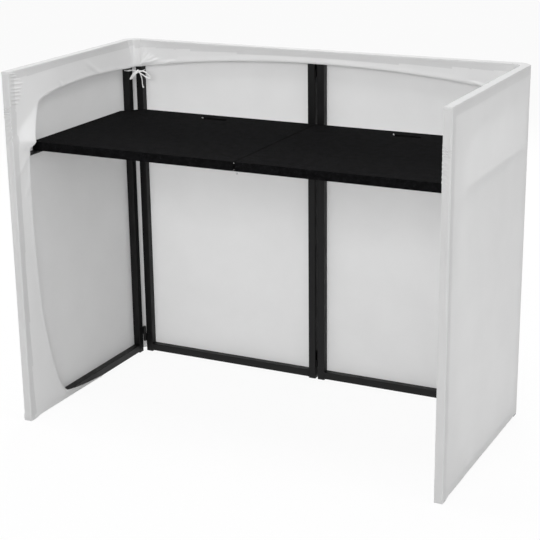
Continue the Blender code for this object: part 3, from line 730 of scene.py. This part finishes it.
def table_tent(points, sign):
    """The flap stands off below its top corner: a facet from a crease down to a ridge, then back."""
    x, y, z = points.T
    along, drop = y - NEAR_Y + HALF, TOP + HALF - z
    crease, ridge = (np.interp(along, *zip(*line)) for line in (TENT_CREASE, TENT_RIDGE))
    rise = np.clip((drop - crease) / (ridge - crease), 0.0, 1.0)
    fall = 1 - smooth(drop, ridge, ridge + TENT_FALL)
    inner = np.abs(x) < INNER_X + NEAR_FLAP
    return np.outer(TENT_HEIGHT * smooth(along, 0.0, TENT_RUN) * rise * fall * inner, (-sign, 0.0, 0.0))


def foot_cuff(points, sign):
    """The cloth's pocket round a near foot stands off a little at the floor."""
    x, y, z = points.T
    near = 1 - smooth(y - NEAR_Y, 0.020, 0.045)
    end = 1 - smooth(y - NEAR_Y, 0.0005, 0.0040)
    outer = smooth(sign * x, INNER_X + 0.002, OUTER_X - 0.004)
    swell = np.exp(-(((z - BOTTOM - 0.010) / 0.009) ** 2))
    return (FOOT_SWELL + FOOT_END_SWELL * end) * near * outer * swell


def foot_skirt(points):
    """The cloth reaches down over the cap of a near foot."""
    near = 1 - smooth(points[:, 1] - NEAR_Y, TUBE, 2 * TUBE)
    low = 1 - smooth(points[:, 2] - BOTTOM, 0.0, 0.030)
    return np.outer(FOOT_DROP * near * low, (0.0, 0.0, -1.0))


# Folds

def placed(folds, place, *first):
    """Folds from a table, with their places in the stand."""
    return [([place(*first, *spot) for spot in line], *size) for line, *size in folds]


def left_wing_folds():
    """Loose creases that only the left wing has."""
    return placed(LEFT_OUTER_FOLDS, wing_out, -1) + placed(LEFT_FLAP_FOLDS, wing_in, -1)


def near_top_gathers(sign):
    """Short creases on the flap, under its near top corner."""
    folds = [
        ([(0.006, drop), (0.006 + length, drop + 0.10 * length)], 0.0019, 0.0024)
        for drop, length in zip(GATHER_DROPS, GATHER_LENGTHS)
    ]
    return placed(folds, wing_in, sign)


def near_end_gathers(sign):
    """Slanting folds across a near end, a long crease and the folded top corner."""
    folds = [
        ([(share, outer + (inner - outer) * share) for share in (-0.1, 1.1)], 0.0030, 0.0019)
        for inner, outer in END_GATHERS
    ]
    folds += [([(1.1, start), (0.30, end)], 0.0028, 0.0023) for start, end in END_SHORT_GATHERS]
    return placed(folds + END_CREASES, near_end, sign)


def corner_gathers(sign):
    """Folds that fan out over the front's flap from the tie at the corner."""
    fan = [([FAN_MIDDLE, end], 0.0032, 0.0044) for end in FAN_ENDS]
    return placed(fan + FLAP_CREASES, lambda x, drop: facade_in(sign * x, drop))


def corner_roll(sign):
    """Upright folds of the corner cloth that run together at the tie."""

    def place(inwards, user, drop):
        return (sign * (CORNER_AXIS.x - inwards), CORNER_AXIS.y - user, TOP + HALF - drop)

    return placed(CORNER_ROLLS, place)


# Covers

def stitch_piece(name, rows, body):
    """Short stitches of some hems. A row is an edge, the ways into the cloth and the way off it."""
    shape = bmesh.new()
    size = Matrix.Diagonal((STITCH_LENGTH / 2, STITCH_RADIUS, STITCH_RADIUS, 1.0))
    for edge, inwards, outwards in rows:
        lengths = running_length(edge)
        starts = np.arange(STITCH_PITCH, lengths[-1] - STITCH_PITCH, STITCH_PITCH)
        firsts, seconds = (places_on(edge, lengths, at) for at in (starts, starts + STITCH_LENGTH))
        spots = np.searchsorted(lengths, starts) - 1
        for first, second, spot in zip(firsts, seconds, spots):
            a, b = Vector(first), Vector(second)
            centre = (a + b) / 2 + Vector(inwards[spot]) * STITCH_INSET + Vector(outwards) * HEM_RISE
            turn = (b - a).normalized().to_track_quat("X", "Z").to_matrix().to_4x4()
            placed = Matrix.Translation(centre) @ turn @ size
            bmesh.ops.create_icosphere(shape, subdivisions=1, radius=1.0, matrix=placed)
    return solid_piece(name, shape, thread, body, rounded=False)


def cover_and_stitches(cloth, material, panel, body, hems):
    """Finished cover in the place of the CAD's, and its stitches."""
    piece = cloth.finish(material)
    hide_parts(f"{panel}_cover")
    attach(piece, body)
    return piece, stitch_piece(f"{panel}_hem_stitches", hems, body)


def cut_at(curve, axis, value):
    """Number of the first point past a value, and the curve's place at the value."""
    rising = curve[0][axis] < value
    number = next(i for i, point in enumerate(curve) if (point[axis] > value) == rising)
    before, after = curve[number - 1], curve[number]
    return number, before.lerp(after, (value - before[axis]) / (after[axis] - before[axis]))


def wing_flap_edges():
    """Outer and free edge of the flap, with as many points, in three legs: top, near post and floor."""
    hem = catmull(WING_HEM, HEM_STEPS)
    top, low = HEM_TOP_CORNER * HEM_STEPS, HEM_LOW_CORNER * HEM_STEPS
    far = WING_FLAP_FAR_Y - wing_low.y
    height = TOP + HALF - BOTTOM
    first, start = cut_at(hem, 0, far)
    last, finish = cut_at(hem, 1, height)
    corners = [(far, HALF), (HALF, HALF), (HALF, height), tuple(finish)]
    curves = [[start, *hem[first : top + 1]], hem[top : low + 1], [*hem[low:last], finish]]
    spans = [(far, FINE_STEP), (height, COARSE_STEP / 1.5), (finish[0], FINE_STEP * 2)]
    made = []
    for corner, following, curve, span in zip(corners, corners[1:], curves, spans):
        count = steps_for(*span)
        made.append((spaced([corner, following], count), spaced(curve, count)))
    return made


def wing_cover(side, folds):
    """Wing's cloth: outer sheet, strips over rail and near post, inner flap with its hem."""
    sign = SIDES[side]
    cloth = Cloth(f"{side}_wing_stretch_cover")
    outer_lines, hems = [], []
    for lines in wing_flap_edges():
        outer, free = (np.array([wing_in(sign, *point) for point in line]) for line in lines)
        inwards = unit_rows(outer - free)
        cloth.flap(outer, free, inwards, (sign, 0, 0), FLAP_ROWS)
        outer_lines.append(outer)
        hems.append((free, inwards, (-sign, 0.0, 0.0)))
    inner_edge, near_inner = outer_lines[:2]
    reaches = np.linspace(WING_FAR_Y - wing_low.y, HALF, len(inner_edge))
    far_outer = np.array([wing_out(sign, along, HALF) for along in reaches])
    cloth.patch(between(far_outer, inner_edge, ACROSS_TUBE))
    near_outer = near_inner + (sign * (OUTER_X - INNER_X), 0, 0)
    cloth.patch(between(near_outer, near_inner, ACROSS_TUBE))
    low_outer = at_height(far_outer, BOTTOM)
    drops = (TOP - near_outer[:, 2]) / (TOP - BOTTOM)
    cloth.patch(np.stack([far_outer + (low_outer - far_outer) * s for s in drops]))
    cloth.wrap((sign * OUTER_X, 0.0, 0.5), (sign, 0, 0))
    cloth.refine(near_gather_zone, 4)
    hem_path = np.concatenate([line for line, _, _ in hems])[::3, 1:]

    def heights(points):
        x, y, z = points.T
        inner = np.abs(np.abs(x) - INNER_X) < ON_FACE
        from_hem = np.ones(len(points))
        from_hem[inner] = np.linalg.norm(points[inner, None, 1:] - hem_path, axis=2).min(axis=1)
        far = np.where(inner, WING_FLAP_FAR_Y, WING_FAR_Y)
        free = smooth(TOP - z, *FREE_RUN) * smooth(y - NEAR_Y, *FREE_RUN) * (1 - smooth(y, far - 0.10, far))
        waves = slow_waves(points, WING_WAVES, 5 + sign) * free
        return hem_raise(from_hem, inner) + waves + ridges(points, folds) + foot_cuff(points, sign)

    def shift(points):
        return table_tent(points, sign) + corner_lift(points, sign, True) + foot_skirt(points)

    cloth.wrinkle(heights, shift)
    return cover_and_stitches(cloth, wing_cloth, f"{side}_wing", f"{side}_wing", hems)


def facade_cover(side, folds):
    """Half of the front's cloth: outer sheet, strip over the rail, inner flap with its hem."""
    sign = SIDES[side]
    cloth = Cloth(f"facade_{side}_stretch_cover")
    count = steps_for(FACADE_FAR_X - MIDDLE_X, FINE_STEP) + 1
    inner_x = np.linspace(MIDDLE_X, FACADE_FLAP_FAR_X, count)
    inner_top = np.array([facade_in(sign * x, HALF) for x in inner_x])
    free = at_height(inner_top, TOP + HALF - facade_hem(inner_x))
    up = unit_rows(inner_top - free)
    cloth.flap(inner_top, free, up, (0, 1, 0), FLAP_ROWS // 2)
    outer_x = np.linspace(MIDDLE_X, FACADE_FAR_X, count)
    cloth.outer_sheet(np.array([(sign * x, FACADE_OUT_Y, TOP) for x in outer_x]), inner_top)
    cloth.wrap((sign * 0.3, FACADE_OUT_Y, 0.5), (0, 1, 0))
    cloth.refine(corner_gather_zone, 2)
    cloth.refine(middle_hinge_zone, 3)

    def heights(points):
        x, y, z = points.T
        sideways = np.abs(x)
        inner = y < FACADE_IN_Y + ON_FACE
        far = np.where(inner, FACADE_FLAP_FAR_X, FACADE_FAR_X)
        free = smooth(TOP - z, *FREE_RUN) * smooth(sideways, MIDDLE_X, 0.08)
        waves = slow_waves(points, FACADE_WAVES, 15 + sign) * free * (1 - smooth(sideways, far - 0.08, far))
        hem = hem_raise(TOP + HALF - facade_hem(x) - z, inner)
        return hem + waves + ridges(points, folds) + hinge_tent(points)

    cloth.wrinkle(heights, lambda points: corner_lift(points, sign, False))
    hems = [(free, up, (0.0, -1.0, 0.0))]
    return cover_and_stitches(cloth, front_cloth_painted_light, f"facade_{side}", f"facade_{side}_frame", hems)


def strip(name, outer_line, inner_line, drops, hidden_ways, outside, heights, shift=None):
    """Cloth between two panels: outer sheet, top and inner flap for each pair of plan points."""
    cloth = Cloth(name)
    outer_top, inner_top = (np.array([(x, y, TOP) for x, y in line]) for line in (outer_line, inner_line))
    free = at_height(inner_top, TOP + HALF - np.array(drops))
    cloth.flap(inner_top, free, np.tile((0.0, 0.0, 1.0), (len(free), 1)), hidden_ways, FLAP_ROWS // 2)
    cloth.outer_sheet(outer_top, inner_top)
    cloth.wrap(*outside)
    cloth.refine(middle_hinge_zone, 3)
    cloth.wrinkle(heights, shift)
    return cloth.finish(front_cloth_painted_light)


def blend_over_corner(piece):
    """Bakes a piece's transform into its mesh."""
    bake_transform(piece)


def corner_strip(side, folds):
    """Cloth over a corner hinge, bent between the front and the wing."""
    sign = SIDES[side]
    wing_end, facade_end = np.array((OUTER_X, WING_FAR_Y)), np.array((FACADE_FAR_X, FACADE_OUT_Y))
    wing_drop = float(np.interp(WING_FLAP_FAR_Y - wing_low.y, *zip(*WING_HEM[1::-1])))
    facade_drop = facade_hem(FACADE_FLAP_FAR_X)
    turn = [(CORNER_AXIS.x + a, CORNER_AXIS.y + b) for a, b in CORNER_TURN]
    inner_path = spaced([(INNER_X, WING_FLAP_FAR_Y), *turn, (FACADE_FLAP_FAR_X, FACADE_IN_Y)], CORNER_STEPS)
    shares = np.linspace(0.0, 1.0, CORNER_STEPS + 1)[:, None]
    bow = 4 * shares * (1 - shares) * CORNER_BOW * math.sqrt(0.5)
    outer_line = (wing_end + (facade_end - wing_end) * shares + bow) * (sign, 1)
    drops = wing_drop + (facade_drop - wing_drop) * shares[:, 0]
    hidden = unit_rows(np.hstack([sign * (1 - shares), shares, 0 * shares]))

    def on_flap(points):
        return points @ (sign, 1.0, 0.0) < INNER_X + WING_FAR_Y

    def heights(points):
        from_hem = TOP + HALF - wing_drop - points[:, 2]
        return hem_raise(from_hem, on_flap(points)) + ridges(points, folds)

    def shift(points):
        """The flap's ends follow the lift of the flaps that they meet."""
        x, y, z = points.T
        grown = smooth(TOP - z, *LIFT_DROPS) * on_flap(points)
        over_x = np.maximum(0.0, np.abs(x) - (INNER_X - CORNER_LIFT)) * grown
        over_y = np.maximum(0.0, y - (FACADE_IN_Y - CORNER_LIFT)) * grown
        return np.stack([-sign * over_x, -over_y, 0.0 * z], axis=1)

    outside = ((sign * (OUTER_X - 0.012), FACADE_OUT_Y - 0.012, 0.5), (sign, 1, 0))
    inner_line = inner_path * (sign, 1)
    piece = strip(f"{side}_corner_cloth", outer_line, inner_line, drops, hidden, outside, heights, shift)
    blend_over_corner(piece)
    return piece


def middle_strip():
    """Cloth over the middle joint, between the two halves of the front."""
    xs = np.linspace(-MIDDLE_X, MIDDLE_X, 5)
    outer_line, inner_line = ([(x, y) for x in xs] for y in (FACADE_OUT_Y, FACADE_IN_Y))

    def heights(points):
        x, y, z = points.T
        return hem_raise(TOP + HALF - facade_hem(x) - z, y < FACADE_IN_Y + ON_FACE) + hinge_tent(points)

    hidden = [(0.0, 1.0, 0.0)] * len(xs)
    outside = ((0.0, FACADE_OUT_Y, 0.5), (0, 1, 0))
    piece = strip("middle_joint_cloth", outer_line, inner_line, facade_hem(xs), hidden, outside, heights)
    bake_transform(piece)
    return piece


# Ties

def tape_run(shape, places, faces):
    """Flat tape along a smooth curve. faces are the ways that it looks at the places."""
    curve, looks = catmull(places, TAPE_STEPS), catmull(faces, TAPE_STEPS)
    last = len(curve) - 1
    rings = []
    for i, (centre, look) in enumerate(zip(curve, looks)):
        along = (curve[min(i + 1, last)] - curve[max(i - 1, 0)]).normalized()
        across = along.cross(look).normalized()
        off = across.cross(along) * (TAPE_THICKNESS / 2)
        across *= TAPE_WIDTH / 2
        rings.append([centre + across * u + off * v for u, v in TAPE_SECTION])
    skin(shape, rings)


def tape_ring(shape, centre, first, second):
    """Turn of tape round a knot. first and second are the half axes of its ellipse."""
    first, second = Vector(first), Vector(second)
    turns = [2 * math.pi * i / 10 for i in range(12)]
    places = [Vector(centre) + first * math.cos(turn) + second * math.sin(turn) for turn in turns]
    faces = [first.normalized() * math.cos(turn) + second.normalized() * math.sin(turn) for turn in turns]
    tape_run(shape, places, faces)


def corner_tie(side):
    """Bow that holds the cloth to the corner's posts, and its turn round the wing's rear post."""
    sign = SIDES[side]
    knot = Vector((sign * KNOT[0], KNOT[1], KNOT[2]))

    def from_knot(run):
        return [knot + Vector((-sign * inwards, -user, -down)) / 1000 for inwards, user, down in run]

    def wind(rows):
        """Runs tape through rows of a place, with its rise over the knot, and the way that the tape looks."""
        places, looks = zip(*rows)
        tape_run(shape, [(sign * x, y, KNOT[2] + rise) for x, y, rise in places], looks)

    shape = bmesh.new()
    for run, look in (
        (BOW_LOOP, (0.0, -1.0, 0.35)),
        (LONG_TAIL, (sign * 0.25, -1.0, 0.0)),
        (SHORT_LOOP, (-sign * 0.8, -0.6, 0.2)),
    ):
        tape_run(shape, from_knot(run), [look] * len(run))
    tape_ring(shape, knot, (0.0, -0.0042, 0.0012), (sign * 0.0016, 0.0, 0.0052))
    tape_ring(shape, knot, (sign * 0.0050, -0.0026, 0.0), (sign * 0.0008, 0.0010, 0.0042))
    tape_ring(shape, from_knot(LONG_TAIL)[-1], (0.0024, 0.0, 0.0), (0.0, 0.0016, 0.0010))
    front, flank = front_post_low.y - TAPE_THICKNESS, front_post_low.x - TAPE_THICKNESS
    wind([
        ((KNOT[0], KNOT[1], 0.0), (0, -1, 0)),
        ((flank + 0.006, front - 0.001, 0.0005), (0, -1, 0)),
        ((flank, front + 0.001, 0.0010), (-sign, -0.6, 0)),
        ((flank, front + 0.012, 0.0015), (-sign, 0, 0)),
        ((flank, front + 0.020, 0.0020), (-sign, 0, 0)),
    ])
    bow = solid_piece(f"{side}_corner_bow", shape, tape)
    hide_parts(f"{side}_corner_tie")
    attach(bow, f"facade_{side}_frame")

    front, flank = post_low.y - TAPE_THICKNESS, post_low.x - TAPE_THICKNESS
    shape = bmesh.new()
    wind([
        ((KNOT[0], KNOT[1], 0.0), (0, -1, 0)),
        ((flank - 0.010, KNOT[1] - 0.0005, 0.0012), (0, -1, 0)),
        ((flank - 0.001, KNOT[1] - 0.0030, 0.0025), (-sign, -0.7, 0)),
        ((flank, front + 0.014, 0.0035), (-sign, 0, 0)),
        ((flank, front + 0.004, 0.0042), (-sign, -0.2, 0)),
        ((flank + 0.0035, front, 0.0045), (-sign * 0.2, -1, 0)),
        ((flank + 0.018, front, 0.0050), (0, -1, 0)),
    ])
    wrap = solid_piece(f"{side}_corner_tie_turn", shape, tape)
    blend_over_corner(wrap)
    return bow, wrap


# Hard pieces

def weld_beads(body, rails):
    """Fillet welds where the rails of one frame meet its posts."""
    turns = [2 * math.pi * j / 6 for j in range(6)]
    shares = np.linspace(0.0, 1.0, WELD_STEPS, endpoint=False)
    shape = bmesh.new()
    for rail in rails:
        low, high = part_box(rail)
        along = 0 if high.x - low.x > high.y - low.y else 1
        across = 1 - along
        way = Vector((0, 0, 0))
        way[along] = 1.0
        corners = [(low[across], low.z), (high[across], low.z), (high[across], high.z), (low[across], high.z)]
        path = []
        for (a, b), (c, d) in zip(corners, corners[1:] + corners[:1]):
            path += [(a + (c - a) * s, b + (d - b) * s) for s in shares]
        for end in (low[along], high[along]):
            rings = []
            for i, (place, height) in enumerate(path):
                swell = WELD_RADIUS * (1.0 + WELD_RIPPLE * math.sin(2.1 * i))
                middle = Vector((0, 0, height))
                middle[along], middle[across] = end, place
                outward = middle - (low + high) / 2
                outward[along] = 0.0
                outward.normalize()
                rings.append([middle + (outward * math.cos(t) + way * math.sin(t)) * swell for t in turns])
            skin(shape, rings, closed=True)
    solid_piece(f"{body}_weld_beads", shape, powder_coat, body)


def give(piece, material, rounding=0.0):
    """Puts a material on every slot of a CAD node's object, and rounds its edges."""
    if rounding:
        round_edges(piece, rounding)
    if not piece.material_slots:
        piece.data.materials.append(None)
    for slot in piece.material_slots:
        slot.link = "OBJECT"
        slot.material = material


def dress_nodes():
    """Materials and small roundings of the CAD nodes that stay."""
    for node, piece in frame["nodes"].items():
        if node.endswith(("_post", "_rail")) or "_hinge_" in node:
            give(piece, powder_coat)
        elif node.endswith("_foot_cap"):
            give(piece, cap_plastic, 0.0006)
        elif node.endswith("_board"):
            give(piece, plywood)
        elif node.endswith("_bracket"):
            give(piece, powder_coat, 0.0004)
        elif node.startswith("table_bolt") or node.endswith("_screw"):
            give(piece, zinc, 0.0003)


def pale_threads():
    """Pale threads at the front of the carpet's seam and at one end of each slot."""
    low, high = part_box("tabletop_left_carpet")
    slot_y = high.y - THREAD_SLOT_FROM_REAR
    spots = [(Vector((0.0, low.y - 0.0003, z)), 3, 0.0008) for z in (low.z + 0.004, high.z - 0.003)]
    spots += [(Vector((x, slot_y, high.z + 0.0004)), 10, 0.0014) for x in THREAD_SLOT_ENDS]
    section = [Vector((math.cos(turn), 0.0, math.sin(turn))) * THREAD_RADIUS for turn in (0.0, 2.1, 4.2)]
    spread = np.random.default_rng(11)
    shape = bmesh.new()
    for centre, count, reach in spots:
        for _ in range(count):
            start = centre + Vector(spread.normal(size=3) * reach * (1.0, 0.4, 0.4))
            bend = Vector(spread.normal(size=3) * THREAD_BEND)
            finish = start + Vector(spread.normal(size=3) * THREAD_REACH)
            curve = catmull([start, (start + finish) / 2 + bend, finish], 3)
            skin(shape, [[point + off for off in section] for point in curve])
    return solid_piece("tabletop_frayed_threads", shape, thread, "tabletop", rounded=False)


def carpet_piece(side):
    """Carpet round one board: the CAD's skin with rounded edges."""
    node = f"tabletop_{side}_carpet"
    piece = add_object(f"{side}_tabletop_needle_carpet", frame["nodes"][node].data.copy())
    round_edges(piece, 0.0022, 4)
    piece.data.materials.clear()
    piece.data.materials.append(carpet)
    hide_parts(node)
    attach(piece, "tabletop")
    return piece


# Stage, light and camera

def add_floor():
    """Plain floor that looks white and keeps a faint shadow."""
    n = Nodes("studio_floor")
    rays = n.add("ShaderNodeLightPath").outputs
    seen = n.math("MAXIMUM", rays["Is Camera Ray"], rays["Is Glossy Ray"])
    seen = n.math("MAXIMUM", seen, rays["Is Transmission Ray"])
    n.set(Base_Color=rgba(FLOOR_GREY), Roughness=0.9, Specular_IOR_Level=0.0)
    white = n.add("ShaderNodeEmission", {"Color": rgba(1.0), "Strength": 1.0})
    n.blend_shader(n.math("MULTIPLY", seen, FLOOR_GLOW), white)
    shape = bmesh.new()
    bmesh.ops.create_grid(shape, x_segments=1, y_segments=1, size=FLOOR_SIZE)
    add_object("studio_floor", mesh_from(shape, "studio_floor", n.material))


def add_world():
    """Surroundings: white where they are seen, a dimmer fill as light."""
    world = bpy.data.worlds.new("studio")
    bpy.context.scene.world = world
    world.use_nodes = True
    tree = world.node_tree
    tree.nodes.clear()
    rays = add_node(tree, "ShaderNodeLightPath").outputs
    either = {0: rays["Is Camera Ray"], 1: rays["Is Transmission Ray"]}
    seen = add_node(tree, "ShaderNodeMath", either, operation="MAXIMUM")
    fill, white = (
        add_node(tree, "ShaderNodeBackground", {"Color": rgba(1.0), "Strength": strength})
        for strength in (WORLD_FILL, 1.0)
    )
    shaders = {0: seen.outputs[0], 1: fill.outputs[0], 2: white.outputs[0]}
    both = add_node(tree, "ShaderNodeMixShader", shaders)
    add_node(tree, "ShaderNodeOutputWorld", {"Surface": both.outputs[0]})


def add_lights():
    for name, (place, target, size, watts) in SOFTBOXES.items():
        name = f"{name}_softbox"
        data = bpy.data.lights.new(name, "AREA")
        data.shape = "RECTANGLE"
        data.size, data.size_y = size
        data.energy = watts
        lamp = add_object(name, data)
        lamp.location = place
        lamp.rotation_mode = "QUATERNION"
        lamp.rotation_quaternion = (Vector(target) - Vector(place)).to_track_quat("-Z", "Y")


def add_camera():
    azimuth, elevation, roll = (math.radians(angle) for angle in CAMERA_ANGLES)
    turn = Matrix.Rotation(azimuth, 4, "Z") @ Matrix.Rotation(math.pi / 2 - elevation, 4, "X")
    data = bpy.data.cameras.new("photo_camera")
    data.sensor_width = CAMERA_SENSOR
    data.lens = CAMERA_LENS
    camera = add_object("photo_camera", data)
    camera.matrix_world = Matrix.Translation(CAMERA_PLACE) @ turn @ Matrix.Rotation(roll, 4, "Z")
    bpy.context.scene.camera = camera


# Copies of one white cloth whose tints paint light and shade: front and flap lighter, over and beside the
# steel tubes darker.
front_cloth_painted_light = cloth_material("front", FRONT_THROUGH, 0.85)
wing_cloth = cloth_material("wing", WING_THROUGH, 0.80)
flap_cloth_painted_light = cloth_material("flap", WING_THROUGH, 0.86)
edge_cloth_painted_shade = cloth_material("over_steel_painted_shade", FRONT_THROUGH, 0.73)
beside_cloth_painted_shade = cloth_material("beside_steel_painted_shade", FRONT_THROUGH, 0.78)
thread = thread_material()
tape = tape_material()
powder_coat = powder_coat_material()
carpet = carpet_material()
plywood = plywood_material()
zinc = zinc_material()
cap_plastic = cap_material()

bpy.context.scene.view_settings.view_transform = "Standard"
add_camera()
add_floor()
add_world()
add_lights()
dress_nodes()
for body in ("facade_left_frame", "facade_right_frame", "left_wing", "right_wing"):
    panel = body.removesuffix("_frame")
    weld_beads(body, [node for node in frame["nodes"] if node.startswith(panel) and node.endswith("_rail")])

for side, sign in SIDES.items():
    loose = left_wing_folds() if side == "left" else []
    wing, wing_seams = wing_cover(side, [*loose, *near_top_gathers(sign), *near_end_gathers(sign)])
    front, front_seams = facade_cover(side, corner_gathers(sign))
    corner = corner_strip(side, corner_roll(sign))
    bow, wrap = corner_tie(side)
    carpet_piece(side)

threads = pale_threads()
middle = middle_strip()
